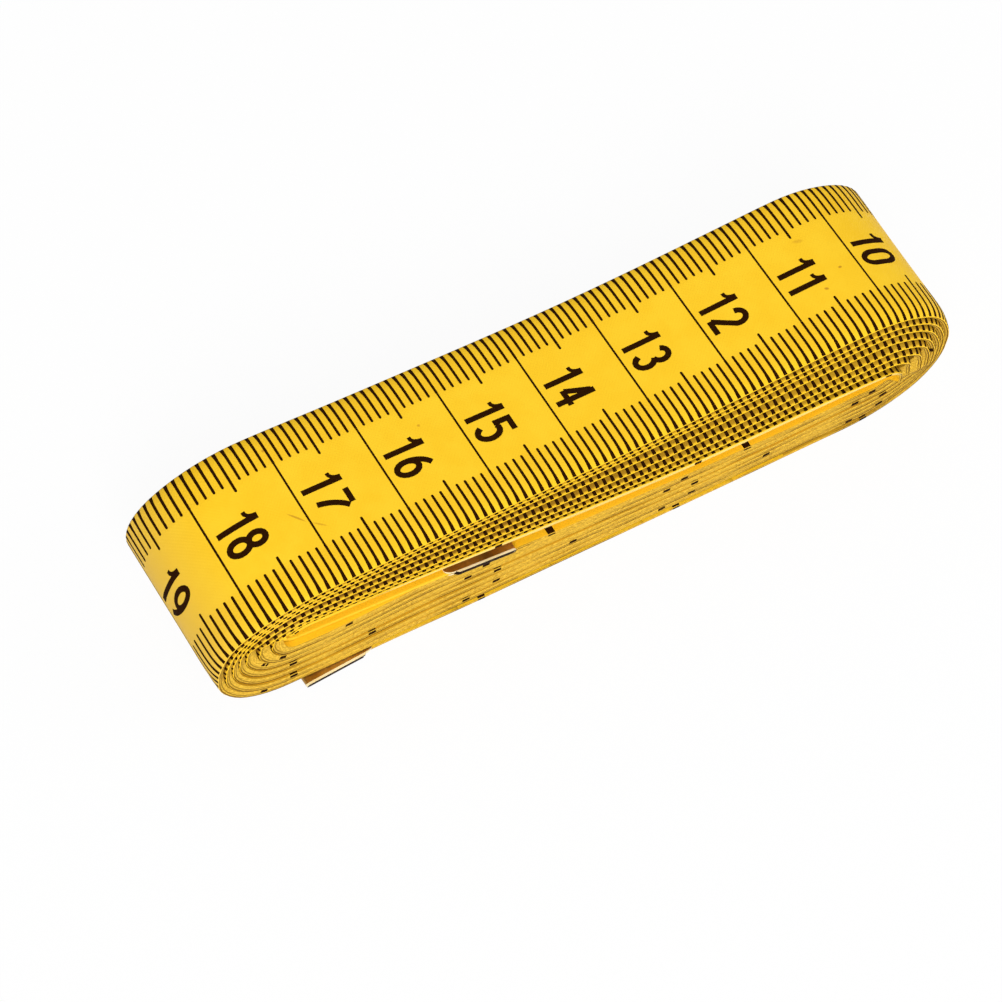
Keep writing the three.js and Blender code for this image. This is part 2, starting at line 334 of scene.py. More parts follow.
def winding_point(slot, quarters):
    """Point on the winding: bottom run, left end, top run and right end follow each other."""
    quarter = math.floor(quarters)
    along = quarters - quarter
    kind = quarter % 4
    lift = CLIP_PROUD * LIFT_SHARE ** (TURNS - quarter // 4)
    if kind == 3:
        return end_point(slot, False, quarters / 4, (0.5 - along) * math.pi)
    if kind == 1:
        point = end_point(slot, True, quarters / 4, (1.5 - along) * math.pi)
        point[1] += lift * math.cos(math.pi * min(0.5, along)) ** 2
        return point
    start, stop = run_ends(slot, quarter)
    point = start + (stop - start) * along
    if kind == 2:
        sag = INNER_SAG + (OUTER_SAG - INNER_SAG) * quarters / (4 * TURNS)
        point[1] -= sag * math.sin(math.pi * along ** SAG_SKEW) ** 2
    else:
        lift_start = OUTER_END_REACH + CLIP_LENGTH + LIFT_RUN - slot / 2
        point[1] += lift * ease(point[0], lift_start, lift_start - LIFT_RUN)
    return point


def wind(slot):
    """The whole winding, from the inner end outwards, as quarters, points and lengths."""
    first = quarters_at_reach(slot, 0, INNER_END_REACH)
    last = quarters_at_reach(slot, 4 * TURNS, OUTER_END_REACH)
    stops = []
    for quarter in range(4 * TURNS + 1):
        steps = END_STEPS if quarter % 2 else RUN_STEPS
        stops += [quarter + k / steps for k in range(1, steps + 1)]
    quarters = np.array([first] + [q for q in stops if first < q < last] + [last])
    points = np.array([winding_point(slot, q) for q in quarters])
    steps = np.linalg.norm(np.diff(points, axis=0), axis=1)
    return quarters, points, np.concatenate([[0.0], np.cumsum(steps)])


def solve_winding():
    """The winding whose slot is as long as the tape's length needs."""
    slot = TAPE_LENGTH / (2 * TURNS)
    for _ in range(SLOT_TRIALS):
        quarters, points, lengths = wind(slot)
        slot += (TAPE_LENGTH - lengths[-1]) / (2 * TURNS)
    return slot, quarters, points, lengths


SLOT, QUARTERS, POINTS, LENGTHS = solve_winding()
STATIONS = TAPE_LENGTH - LENGTHS[::-1]
ACROSS = ACROSS_MARGIN + ACROSS_MIDDLE + [TAPE_WIDTH - y for y in reversed(ACROSS_MARGIN)]
COIL_LOW, COIL_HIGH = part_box("tape_coil")
TAIL_LOW, TAIL_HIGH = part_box("tape_tail_1")
SHIFT_X = (COIL_LOW.x + COIL_HIGH.x) / 2 / MM - (POINTS[:, 0].min() + POINTS[:, 0].max()) / 2
SHIFT_Z = COIL_LOW.z / MM - (POINTS[:, 1].min() - OUTER_FACE)
SHIFT_Y = (TAIL_LOW.y + TAIL_HIGH.y) / 2 / MM - TAPE_WIDTH / 2


def tangents():
    """Unit tangents at the winding's points, pointing outwards along the tape."""
    before = np.vstack([2 * POINTS[:1] - POINTS[1:2], POINTS[:-1]])
    after = np.vstack([POINTS[1:], 2 * POINTS[-1:] - POINTS[-2:-1]])
    steps = after - before
    return steps / np.linalg.norm(steps, axis=1)[:, None]


TANGENTS = tangents()
AHEAD = TANGENTS[:, 0]
MARKS = TAPE_LENGTH - LENGTHS
TURN_COUNTS = (QUARTERS[-1] - QUARTERS) / 4
TOP_SHARES = ease(AHEAD, *RUN_AHEAD)
BOTTOM_SHARES = ease(-AHEAD, *RUN_AHEAD)
RIGHT_SHARES = ease(POINTS[:, 0], *RIGHT_PART)


def mark_at_turn(turn):
    """Distance from the outer end after a number of turns."""
    return float(np.interp(turn, TURN_COUNTS[::-1], MARKS[::-1]))


def tuck(x, turns):
    """Moves the two ends of every turn along a little, as they lie in the photograph."""
    ends = ((-1, PITCH_LEFT, TUCK_LEFT), (1, PITCH_RIGHT, TUCK_RIGHT))
    for sign, pitch, amounts in ends:
        tip = (SLOT + CORE_THICKNESS) / 2 + (TURNS - turns) * pitch
        share = np.clip((sign * x - tip) / TUCK_RUN + 1, 0, TUCK_PAST_TIP)
        x = x - sign * np.interp(turns, TUCK_TURNS, amounts) * share ** 2
    return x


TUCKED = tuck(POINTS[:, 0], TURN_COUNTS)


def cloth_depth():
    """Depth of the cloth's inner face under its middle, at the winding's points. In the lower pack
    and round the ends the soft layers fill the room up to the next turn."""
    index = np.arange(len(QUARTERS))
    turn_inside = np.interp(QUARTERS - 4, QUARTERS, index, left=-1)
    x = np.interp(turn_inside, index, TUCKED)
    z = np.interp(turn_inside, index, POINTS[:, 1])
    room = np.abs((TUCKED - x) * TANGENTS[:, 1] - (POINTS[:, 1] - z) * AHEAD)
    spare = np.clip(room - OUTER_FACE - LAYER_GAP - INNER_FACE, 0, None)
    fill_from = FILL_FROM + FILL_SOONER_RIGHT * RIGHT_SHARES
    filled = ease(AHEAD, fill_from, fill_from - FILL_RUN) * ease(MARKS, THICK_FROM, THICK_FULL)
    covered = ease(QUARTERS - QUARTERS[0], *COVERED_QUARTERS)
    roof = (ease(TURN_COUNTS, ROOF_TURNS[0], ROOF_TURNS[0] + ROOF_RUN)
            * ease(TURN_COUNTS, ROOF_TURNS[1], ROOF_TURNS[1] - ROOF_RUN))
    return INNER_FACE + spare * filled * covered + ROOF_EXTRA * roof


DEPTHS = cloth_depth()


def inner_face(marks):
    """Depth of the cloth's inner face at distances from the outer end."""
    return np.interp(TAPE_LENGTH - np.asarray(marks, float), LENGTHS, DEPTHS)


def side_drifts():
    """Even drift of the turns towards the near side, with a small sway that is larger where the
    turns are covered."""
    sway = sum(size * np.sin(MARKS / run + start) for size, run, start in SWAYS)
    hidden = ease(TURN_COUNTS, *HIDDEN_FROM) * ease(TURN_COUNTS, *HIDDEN_TO)
    stagger = TURN_STAGGER + STAGGER_PER_LENGTH * POINTS[:, 0]
    return sway * (1 + (INNER_SWAY - 1) * hidden) - TURN_COUNTS * stagger


def side_slips():
    """Slip of the runs over and under the slot towards the near side."""
    inner = INNER_SLIP + INNER_SLIP_PER_LENGTH * POINTS[:, 0]
    single = np.interp(TURN_COUNTS, np.arange(len(TURN_SLIPS)) + 0.5, TURN_SLIPS)
    middle = np.exp(-((POINTS[:, 0] - TURN_SLIP_MIDDLE) / TURN_SLIP_RUN) ** 2)
    top = ease(TURN_COUNTS, *SLIPPED_TURNS) * inner + single * middle
    floor = np.interp(POINTS[:, 0], FLOOR_SHIFT_PLACES, FLOOR_SHIFTS) * TURN_COUNTS / TURNS
    tail = ease(MARKS, *INNER_TAIL_MARKS)
    bottom = (BOTTOM_SLIP - floor) * (1 - tail) + INNER_TAIL_SLIP * tail
    return TOP_SHARES * top + BOTTOM_SHARES * bottom


def side_arches():
    """Height of the arch of the runs over the slot, at its crown and as lost towards each edge."""
    arched = ARCH_HEIGHT * ease(TURN_COUNTS, *ARCHED_TURNS)
    extra = ARCH_EXTRA_RIGHT * RIGHT_SHARES * (1 - TURN_COUNTS / TURNS)
    near = ease(AHEAD, *NEAR_ARCH_AHEAD) * (arched + extra)
    crown = arched * TOP_SHARES
    return crown, near, crown * (1 - ARCH_LOSS_RIGHT * RIGHT_SHARES)


SIDE_SHIFTS = side_drifts() - side_slips()
CROWNS, NEAR_ARCHES, FAR_ARCHES = side_arches()
SHOULDERS = np.exp(-((POINTS[:, 0] - SHOULDER_MIDDLE) / SHOULDER_RUN) ** 2)
LIFTS = SHOULDER_LIFT * SHOULDERS * ease(AHEAD, *SHOULDER_AHEAD)
FLARES = FLARE_RIGHT * np.clip((POINTS[:, 0] - POINTS[:, 0].max()) / TUCK_RUN + 1, 0, 1) ** 2


def station_points(station, across, out):
    """Points of the tape's cross-section at stations of the winding, in millimetres. The runs over the
    slot are arched across their width, and their inner turns have slipped towards the near side."""
    side = across / (TAPE_WIDTH / 2) - 1
    drop = np.where(side < 0, NEAR_ARCHES[station], FAR_ARCHES[station]) * np.abs(side) ** ARCH_POWER
    slope = -ARCH_POWER * drop / np.where(side == 0, 1, side) / (TAPE_WIDTH / 2)
    tilt = 1 / np.sqrt(1 + slope ** 2)
    rise = CROWNS[station] - drop + out * tilt
    x = TUCKED[station] - TANGENTS[station, 1] * rise + SHIFT_X
    x = x + FLARES[station] * np.clip(across / TAPE_WIDTH, 0, 1) ** 2
    y = across + SIDE_SHIFTS[station] - out * slope * tilt + SHIFT_Y
    z = POINTS[station, 1] + TANGENTS[station, 0] * rise + SHIFT_Z
    z = z + LIFTS[station] * np.clip(across / TAPE_WIDTH, 0, 1)
    return np.stack([x, y, z], -1)


def tape_points(marks, across, out):
    """Places in the row frame, in metres, of tape points: distance from the outer end, distance
    from the near edge, and distance out of the middle of the cloth."""
    marks, across, out = np.broadcast_arrays(np.asarray(marks, float), across, out)
    lengths = LENGTHS[-1] - marks
    after = np.clip(np.searchsorted(LENGTHS, lengths), 1, len(LENGTHS) - 1)
    share = (lengths - LENGTHS[after - 1]) / (LENGTHS[after] - LENGTHS[after - 1])
    first = station_points(after - 1, across, out)
    return (first + (station_points(after, across, out) - first) * share[..., None]) * MM


def new_object(name, vertices, faces, materials, face_materials=None, uv=None):
    """A mesh object from arrays, with an optional tape coordinate layer in millimetres."""
    mesh = bpy.data.meshes.new(name)
    mesh.from_pydata([tuple(v) for v in vertices], [], [tuple(f) for f in faces])
    for material in materials:
        mesh.materials.append(material)
    if face_materials is not None:
        mesh.polygons.foreach_set("material_index", np.asarray(face_materials, np.int32))
    if uv is not None:
        corners = np.zeros(len(mesh.loops), np.int32)
        mesh.loops.foreach_get("vertex_index", corners)
        layer = mesh.uv_layers.new(name="tape")
        layer.data.foreach_set("uv", np.asarray(uv, np.float32)[corners].ravel())
    mesh.polygons.foreach_set("use_smooth", np.ones(len(mesh.polygons), bool))
    mesh.update()
    obj = bpy.data.objects.new(name, mesh)
    bpy.context.scene.collection.objects.link(obj)
    return obj


# Material helpers
def node_tree(name):
    """A new material with its nodes and its one shader."""
    material = bpy.data.materials.new(name)
    material.use_nodes = True
    tree = material.node_tree
    return material, tree, tree.nodes["Principled BSDF"]


def add(tree, kind, **values):
    """A new node with some of its properties set."""
    node = tree.nodes.new(kind)
    for key, value in values.items():
        setattr(node, key, value)
    return node


def math_node(tree, operation, first, second=None):
    """The result of a sum on numbers or sockets."""
    node = add(tree, "ShaderNodeMath", operation=operation)
    for socket, value in zip(node.inputs, (first, second)):
        if value is None:
            continue
        if isinstance(value, (int, float)):
            socket.default_value = value
        else:
            tree.links.new(value, socket)
    return node.outputs[0]


def noise(tree, vector, scale, detail=3.0, roughness=0.55):
    node = add(tree, "ShaderNodeTexNoise")
    node.inputs["Scale"].default_value = scale
    node.inputs["Detail"].default_value = detail
    node.inputs["Roughness"].default_value = roughness
    tree.links.new(vector, node.inputs["Vector"])
    return node.outputs["Fac"]


def product(tree, first, second):
    return math_node(tree, "MULTIPLY", first, second)


def ramp(tree, factor, low, high):
    """Rises smoothly from 0 at low to 1 at high, which may be the lower of the two."""
    node = add(tree, "ShaderNodeMapRange")
    node.inputs["From Min"].default_value = low
    node.inputs["From Max"].default_value = high
    node.interpolation_type = "SMOOTHSTEP"
    tree.links.new(factor, node.inputs["Value"])
    return node.outputs["Result"]


def mix_colour(tree, factor, first, second):
    """The first colour, and the second where the factor is 1."""
    node = add(tree, "ShaderNodeMix", data_type="RGBA")
    sockets = [node.inputs[0], node.inputs[6], node.inputs[7]]
    for socket, value in zip(sockets, (factor, first, second)):
        if isinstance(value, (int, float)):
            socket.default_value = value
        elif isinstance(value, tuple):
            socket.default_value = (*value, 1.0)
        else:
            tree.links.new(value, socket)
    return node.outputs[2]


def bump(tree, height, strength, distance):
    node = add(tree, "ShaderNodeBump")
    node.inputs["Strength"].default_value = strength
    node.inputs["Distance"].default_value = distance
    tree.links.new(height, node.inputs["Height"])
    return node.outputs["Normal"]


def tape_uv(tree):
    """Place on the tape in millimetres, whole, along and across."""
    layer = add(tree, "ShaderNodeUVMap", uv_map="tape")
    split = add(tree, "ShaderNodeSeparateXYZ")
    tree.links.new(layer.outputs["UV"], split.inputs[0])
    return layer.outputs["UV"], split.outputs["X"], split.outputs["Y"]


def place_along_coil(tree):
    """Distance along the coil from its middle, in metres."""
    place = add(tree, "ShaderNodeTexCoord")
    split = add(tree, "ShaderNodeSeparateXYZ")
    tree.links.new(place.outputs["Object"], split.inputs[0])
    return split.outputs["X"]


def stretched(tree, vector, scale):
    """A place with its three directions scaled apart."""
    node = add(tree, "ShaderNodeMapping")
    node.inputs["Scale"].default_value = scale
    tree.links.new(vector, node.inputs["Vector"])
    return node.outputs["Vector"]


def weave_height(tree, along, across):
    """Over and under threads of a plain weave, from tape coordinates in millimetres."""
    turn = 2 * math.pi / WEAVE_PITCH
    warp = math_node(tree, "SINE", product(tree, along, turn))
    weft = math_node(tree, "SINE", product(tree, across, turn))
    return product(tree, warp, weft)


def spot(tree, along, across, place, size, turn):
    """A soft mark: one at its middle and nothing outside, at a place on the tape."""
    s = math_node(tree, "SUBTRACT", along, place[0])
    y = math_node(tree, "SUBTRACT", across, place[1])
    c, k = math.cos(turn), math.sin(turn)
    u = math_node(tree, "ADD", product(tree, s, c), product(tree, y, k))
    v = math_node(tree, "SUBTRACT", product(tree, y, c), product(tree, s, k))
    squares = [math_node(tree, "POWER", math_node(tree, "ABSOLUTE", product(tree, a, 1 / r)), 2.0)
               for a, r in ((u, size[0]), (v, size[1]))]
    return ramp(tree, math_node(tree, "ADD", *squares), 1.0, 0.0)


def cloth_material(name, shade_from, shade_to, shade_colour, shade_share, shade_fade_right=0.0):
    """Satin yellow coating over a fine weave, a little darker along both margins, with small dark marks
    and a painted sheen on the left end. Away from the edges painted shade deepens the colour, less so to
    the right."""
    material, tree, shader = node_tree(name)
    vector, along, across = tape_uv(tree)
    mottle = noise(tree, vector, MOTTLE_SCALE, 3.0)
    fine = noise(tree, vector, GRAIN_SCALE, 2.0)
    colour = mix_colour(tree, ramp(tree, mottle, 0.35, 0.7), YELLOW, YELLOW_PALE)
    margin = math_node(tree, "MAXIMUM", ramp(tree, across, *MARGIN_NEAR), ramp(tree, across, *MARGIN_FAR))
    shade = product(tree, margin, ramp(tree, fine, 0.25, 0.8))
    colour = mix_colour(tree, product(tree, shade, MARGIN_SHARE), colour, YELLOW_MARGIN)
    # Small dark marks of stains and creases
    for place, size, turn, strength in DARK_MARKS:
        dark_mark = product(tree, spot(tree, along, across, place, size, turn), strength)
        colour = mix_colour(tree, dark_mark, colour, DARK_MARK_COLOUR)
    edge = math_node(tree, "MINIMUM", across, math_node(tree, "SUBTRACT", TAPE_WIDTH, across))
    # Painted shade away from the edges, fading towards the right
    right = ramp(tree, place_along_coil(tree), SHADE_FADE_RIGHT[0] * MM, SHADE_FADE_RIGHT[1] * MM)
    shade_kept = math_node(tree, "SUBTRACT", 1.0, product(tree, right, shade_fade_right))
    painted_shade = product(tree, product(tree, ramp(tree, edge, shade_from, shade_to), shade_share), shade_kept)
    colour = mix_colour(tree, painted_shade, colour, shade_colour)
    # Painted sheen: the left end turns greyer and darker
    left_end_sheen = product(tree, ramp(tree, along, *SHEEN_FROM), ramp(tree, along, *SHEEN_TO))
    colour = mix_colour(tree, left_end_sheen, colour, YELLOW_SHEEN_LEFT_END)
    tree.links.new(colour, shader.inputs["Base Color"])
    weave = product(tree, weave_height(tree, along, across), WEAVE_SHARE)
    grain = math_node(tree, "ADD", weave, fine)
    tree.links.new(bump(tree, grain, 0.2, GRAIN_HEIGHT), shader.inputs["Normal"])
    gloss = math_node(tree, "ADD", product(tree, mottle, 0.15), 0.45)
    tree.links.new(gloss, shader.inputs["Roughness"])
    shader.inputs["Specular IOR Level"].default_value = 0.12
    return material


def layer_seams(tree, vector, along, across):
    """Painted shade lines between the layers on the tape's edge: broken along the runs, whole round the
    ends.
    On the edge the place across goes on past the tape's width with the depth."""
    depth = math_node(tree, "MAXIMUM", product(tree, across, -1.0),
                      math_node(tree, "SUBTRACT", across, TAPE_WIDTH))
    shade_line = ramp(tree, depth, *SHADE_LINE_DEPTH)
    middle = math_node(tree, "ABSOLUTE", math_node(tree, "SUBTRACT", depth, SECOND_SHADE_LINE_DEPTH))
    second = product(tree, ramp(tree, middle, *SECOND_SHADE_LINE_REACH), SECOND_SHADE_LINE_SHARE)
    shade_line = math_node(tree, "MAXIMUM", shade_line, second)
    patches = noise(tree, vector, SHADE_LINE_PATCH_SCALE, 2.0)
    shown = math_node(tree, "ADD", ramp(tree, patches, *SHADE_LINE_PATCHES), SHADE_LINE_LEAST)
    place = place_along_coil(tree)
    wound = ramp(tree, along, THICK_FROM, THICK_FULL)
    for start, stop in (SHADE_LINES_LEFT, SHADE_LINES_RIGHT):
        end = product(tree, ramp(tree, place, start * MM, stop * MM), wound)
        shown = math_node(tree, "MAXIMUM", shown, end)
    return math_node(tree, "MINIMUM", product(tree, shade_line, shown), SHADE_LINE_MOST)


def edge_material():
    """The cut edge: threads of the weave, with painted shade lines between the layers. The slot's roof has
    a paler edge of pale threads with a painted highlight, and the tape's end on the slot's floor a deeper
    one."""
    material, tree, shader = node_tree("tape_edge")
    vector, along, across = tape_uv(tree)
    threads = noise(tree, stretched(tree, vector, THREAD_STRETCH), THREAD_SCALE, 4.0, 0.65)
    tint = mix_colour(tree, ramp(tree, threads, 0.3, 0.7), EDGE_DARK, EDGE_LIGHT)
    patches = ramp(tree, noise(tree, vector, PATCH_SCALE, 2.0), 0.4, 0.7)
    tint = mix_colour(tree, product(tree, patches, PATCH_SHARE), tint, EDGE_PATCH)
    # Painted shade lines between the layers
    tint = mix_colour(tree, layer_seams(tree, vector, along, across), tint, EDGE_SHADE_LINE)
    # Pale threads with a painted highlight along the slot roof's edge
    roof = product(tree, ramp(tree, along, ROOF_FROM - ROOF_EDGE_RUN, ROOF_FROM),
                   ramp(tree, along, ROOF_TO + ROOF_EDGE_RUN, ROOF_TO))
    tint = mix_colour(tree, product(tree, roof, ROOF_EDGE_SHARE), tint, ROOF_EDGE)
    floor = ramp(tree, along, ROOF_TO, ROOF_TO + SLOT_FLOOR_EDGE_RUN)
    tint = mix_colour(tree, floor, tint, SLOT_FLOOR_EDGE)
    tree.links.new(tint, shader.inputs["Base Color"])
    tree.links.new(bump(tree, threads, 0.6, THREAD_HEIGHT), shader.inputs["Normal"])
    shader.inputs["Roughness"].default_value = 0.8
    shader.inputs["Specular IOR Level"].default_value = 0.1
    return material


def ink_material():
    """Dark printed ink that lets a little of the weave show."""
    material, tree, shader = node_tree("scale_ink")
    vector, along, across = tape_uv(tree)
    fine = noise(tree, vector, INK_SCALE, 3.0)
    colour = mix_colour(tree, ramp(tree, fine, 0.45, 0.85), INK_DARK, INK_WORN)
    tree.links.new(colour, shader.inputs["Base Color"])
    weave = weave_height(tree, along, across)
    tree.links.new(bump(tree, weave, 0.15, GRAIN_HEIGHT), shader.inputs["Normal"])
    shader.inputs["Roughness"].default_value = 0.7
    shader.inputs["Specular IOR Level"].default_value = 0.02
    return material


def brass_material(name, dark, light, roughness, metal):
    """Rolled brass sheet with fine scratches and a patchy colour between two given tones, which hold
    tarnish and painted light.
    """
    material, tree, shader = node_tree(name)
    place = add(tree, "ShaderNodeTexCoord").outputs["Object"]
    scratches = noise(tree, stretched(tree, place, SCRATCH_STRETCH), 1.0, 3.0)
    tarnish = noise(tree, place, TARNISH_SCALE, 4.0)
    colour = mix_colour(tree, ramp(tree, tarnish, 0.35, 0.7), dark, light)
    tree.links.new(colour, shader.inputs["Base Color"])
    shader.inputs["Metallic"].default_value = metal
    gloss = math_node(tree, "ADD", product(tree, tarnish, 0.2), roughness)
    tree.links.new(gloss, shader.inputs["Roughness"])
    tree.links.new(bump(tree, scratches, 0.12, SCRATCH_HEIGHT), shader.inputs["Normal"])
    return material


ROOF_FROM, ROOF_TO = (mark_at_turn(turn) for turn in ROOF_TURNS)
CLOTH = cloth_material("tape_cloth", 0.0, 1.0, BACK_SHADE_ORANGE, 0.0)
# Painted shade on the inner turns' printed face, except near each edge
CLOTH_INNER = cloth_material("tape_cloth_inner", 0.02, 0.36, SHADE_BETWEEN_TURNS, 0.95, shade_fade_right=0.36)
# Painted shade deepening the back face away from its edges
CLOTH_BACK = cloth_material("tape_cloth_back", 0.3, 2.2, BACK_SHADE_ORANGE, 0.6)
# Painted shade over the back faces of the packed turns
CLOTH_COVERED_SHADE = cloth_material("tape_cloth_covered_shade", -1.0, 0.0, YELLOW_COVERED_SHADE, 0.9)
EDGE = edge_material()
INK = ink_material()
# Brass faces: tarnish, with painted shade in the dark base tones
BRASS = brass_material("clip_brass", *BRASS_SHADES, 0.3, 0.9)
# Painted highlight on the clip's rim
RIM_HIGHLIGHT = brass_material("clip_rim_highlight", *RIM_SHADES, 0.25, 0.2)
# Painted shade on the clip's side edges and lower leg
BRASS_EDGE_SHADE = brass_material("clip_edge_shade", *CUT_SHADES, 0.5, 0.9)

# The cloth's materials, and the marks between which they are used
CLOTH_MATERIALS = [CLOTH, EDGE, CLOTH_INNER, CLOTH_BACK, CLOTH_COVERED_SHADE]
PRINTED, CUT_EDGE, PRINTED_INNER, BACK, BACK_COVERED_SHADE = range(len(CLOTH_MATERIALS))
INNER_FROM = mark_at_turn(1.0)
COVERED_SHADE_TO = mark_at_turn(TURNS - 1.1)
CLIP_COVERS = mark_at_turn(TURNS - 1.02), mark_at_turn(TURNS - 0.93)


def cloth_strip(name, start, stop):
    """A length of the tape between two distances from the outer end, as a closed sheet. A row of its
    points runs over the printed face, the far edge, the back and the near edge."""
    inside = STATIONS[(STATIONS > start + ROW_GAP) & (STATIONS < stop - ROW_GAP)]
    marks = np.concatenate([[start], inside, [stop]])[:, None]
    flat = len(ACROSS)
    face, edge = np.zeros(flat), np.array([EDGE_STEP, 1, 1, EDGE_STEP])
    far = TAPE_WIDTH - EDGE_ROUND * EDGE_STEP * np.array([1, 0, 0, 1])
    across = np.concatenate([ACROSS, far, ACROSS[::-1], TAPE_WIDTH - far])
    inset = EDGE_ROUND * np.concatenate([face, edge, face, edge])
    on_back = np.concatenate([face, [0, 0, 1, 1], face + 1, [1, 1, 0, 0]]) > 0
    out = np.where(on_back, inset - inner_face(marks), OUTER_FACE - inset)
    across = np.broadcast_to(across, out.shape)
    vertices = tape_points(marks, across, out).reshape(-1, 3)
    past_width = np.concatenate([face, np.ones(4), face, -np.ones(4)])
    uv = np.stack(np.broadcast_arrays(marks, across + past_width * (OUTER_FACE - out)), -1)
    count = out.shape[1]
    faces, kinds = [], []
    for row in range(len(marks) - 1):
        # The inner turns' printed face gets painted shade
        printed = PRINTED_INNER if marks[row] > INNER_FROM else PRINTED
        # The packed turns' back faces get painted shade
        back = BACK_COVERED_SHADE if THICK_FROM < marks[row] < COVERED_SHADE_TO else BACK
        for k in range(count):
            a, b = row * count + k, row * count + (k + 1) % count
            faces.append((a, a + count, b + count, b))
            is_edge = flat - 1 <= k < flat + 4 or 2 * flat + 3 <= k < 2 * flat + 6
            is_printed = k < flat or k >= 2 * flat + 6
            kinds.append(CUT_EDGE if is_edge else printed if is_printed else back)
    last = (len(marks) - 1) * count
    faces += [tuple(range(count)), tuple(last + k for k in reversed(range(count)))]
    kinds += [CUT_EDGE, CUT_EDGE]
    strip = new_object(name, vertices, faces, CLOTH_MATERIALS, kinds, uv.reshape(-1, 2))
    for cut_end in strip.data.polygons[-2:]:
        cut_end.use_smooth = False
    return strip


def cut(polygon, axis, value):
    """The two parts of a convex polygon below and above a value of one coordinate."""
    below, above = [], []
    for a, b in zip(polygon, polygon[1:] + polygon[:1]):
        (below if a[axis] <= value else above).append(a)
        if (a[axis] - value) * (b[axis] - value) < 0:
            t = (value - a[axis]) / (b[axis] - a[axis])
            middle = tuple(p + (q - p) * t for p, q in zip(a, b))
            below.append(middle)
            above.append(middle)
    return below, above


def divide(polygon, axis, values):
    """Parts of a convex polygon between values of one coordinate, so that it bends with the cloth."""
    parts = []
    low, high = min(p[axis] for p in polygon), max(p[axis] for p in polygon)
    first, last = np.searchsorted(values, [low + 1e-6, high - 1e-6])
    for value in values[first:last]:
        below, polygon = cut(polygon, axis, value)
        if len(below) > 2:
            parts.append(below)
    return parts + [polygon] if len(polygon) > 2 else parts


class InkSheet:
    """Collects flat printed shapes as points along, across and out of the tape."""

    def __init__(self):
        self.points, self.faces = [], []

    def polygon(self, points, layer=0, back=False):
        for strip in divide(points, 0, STATIONS):
            for part in divide(strip, 1, ACROSS):
                lift = INK_LIFT + INK_LAYER * layer
                self.face([(s, y, -inner_face(s) - lift if back else OUTER_FACE + lift) for s, y in part])

    def face(self, points):
        start = len(self.points)
        self.points += points
        self.faces.append(tuple(range(start, start + len(points))))

    def tick(self, mark, width, root, tip):
        """A tick from the tape's edge, with a wider foot and a rounded free end."""
        reach = math.copysign(width, tip - root)
        neck = root + math.copysign(TICK_ROOT, tip - root)
        foot = [(-TICK_FOOT, root), (TICK_FOOT, root), (TICK_NECK, neck), (-TICK_NECK, neck)]
        side = [(half, tip - back * reach) for half, back in TICK_TIP]
        stem = [(-TICK_NECK, neck), (TICK_NECK, neck), *side, (0.0, tip)]
        stem += [(-half, y) for half, y in reversed(side)]
        for part in (foot, stem):
            self.polygon([(mark + width * x, y) for x, y in part])

    def bar(self, mark, width, low, high, layer=0, back=False):
        a, b = mark - width / 2, mark + width / 2
        self.polygon([(a, low), (b, low), (b, high), (a, high)], layer, back)

    def bleed(self, mark, width):
        """Ink of a bar on the back that has soaked into both edges of the cloth."""
        a, b = mark - width / 2, mark + width / 2
        low = -inner_face(mark) + EDGE_ROUND
        high = min(low + INCH_BLEED, OUTER_FACE - EDGE_ROUND)
        for y in (-INK_LIFT, TAPE_WIDTH + INK_LIFT):
            self.face([(a, y, low), (b, y, low), (b, y, high), (a, y, high)])

    def stroke(self, path, width, layer=0):
        """A line of constant width along points, with square ends or closed to a ring."""
        path = np.asarray(path, float)
        ahead = np.diff(path, axis=0)
        ahead /= np.linalg.norm(ahead, axis=1)[:, None]
        ends = ahead[:1], ahead[-1:]
        if np.allclose(path[0], path[-1]):
            ends = ((ahead[:1] + ahead[-1:]) / 2,) * 2
        turn = np.vstack([ends[0], (ahead[1:] + ahead[:-1]) / 2, ends[1]])
        size = np.linalg.norm(turn, axis=1)[:, None]
        normal = np.stack([-turn[:, 1], turn[:, 0]], 1) / size ** 2
        left, right = path + normal * width / 2, path - normal * width / 2
        for k in range(len(path) - 1):
            corners = (left[k], right[k], right[k + 1], left[k + 1])
            self.polygon([tuple(float(v) for v in c) for c in corners], layer)

    def build(self, name):
        points = np.array(self.points, float)
        vertices = tape_points(*points.T)
        return new_object(name, vertices, self.faces, [INK], None, points[:, :2])


def arc(cx, cy, rx, ry, start, stop, steps=10):
    angles = np.radians(np.linspace(start, stop, steps + 1))
    return [(cx + rx * math.cos(a), cy + ry * math.sin(a)) for a in angles]


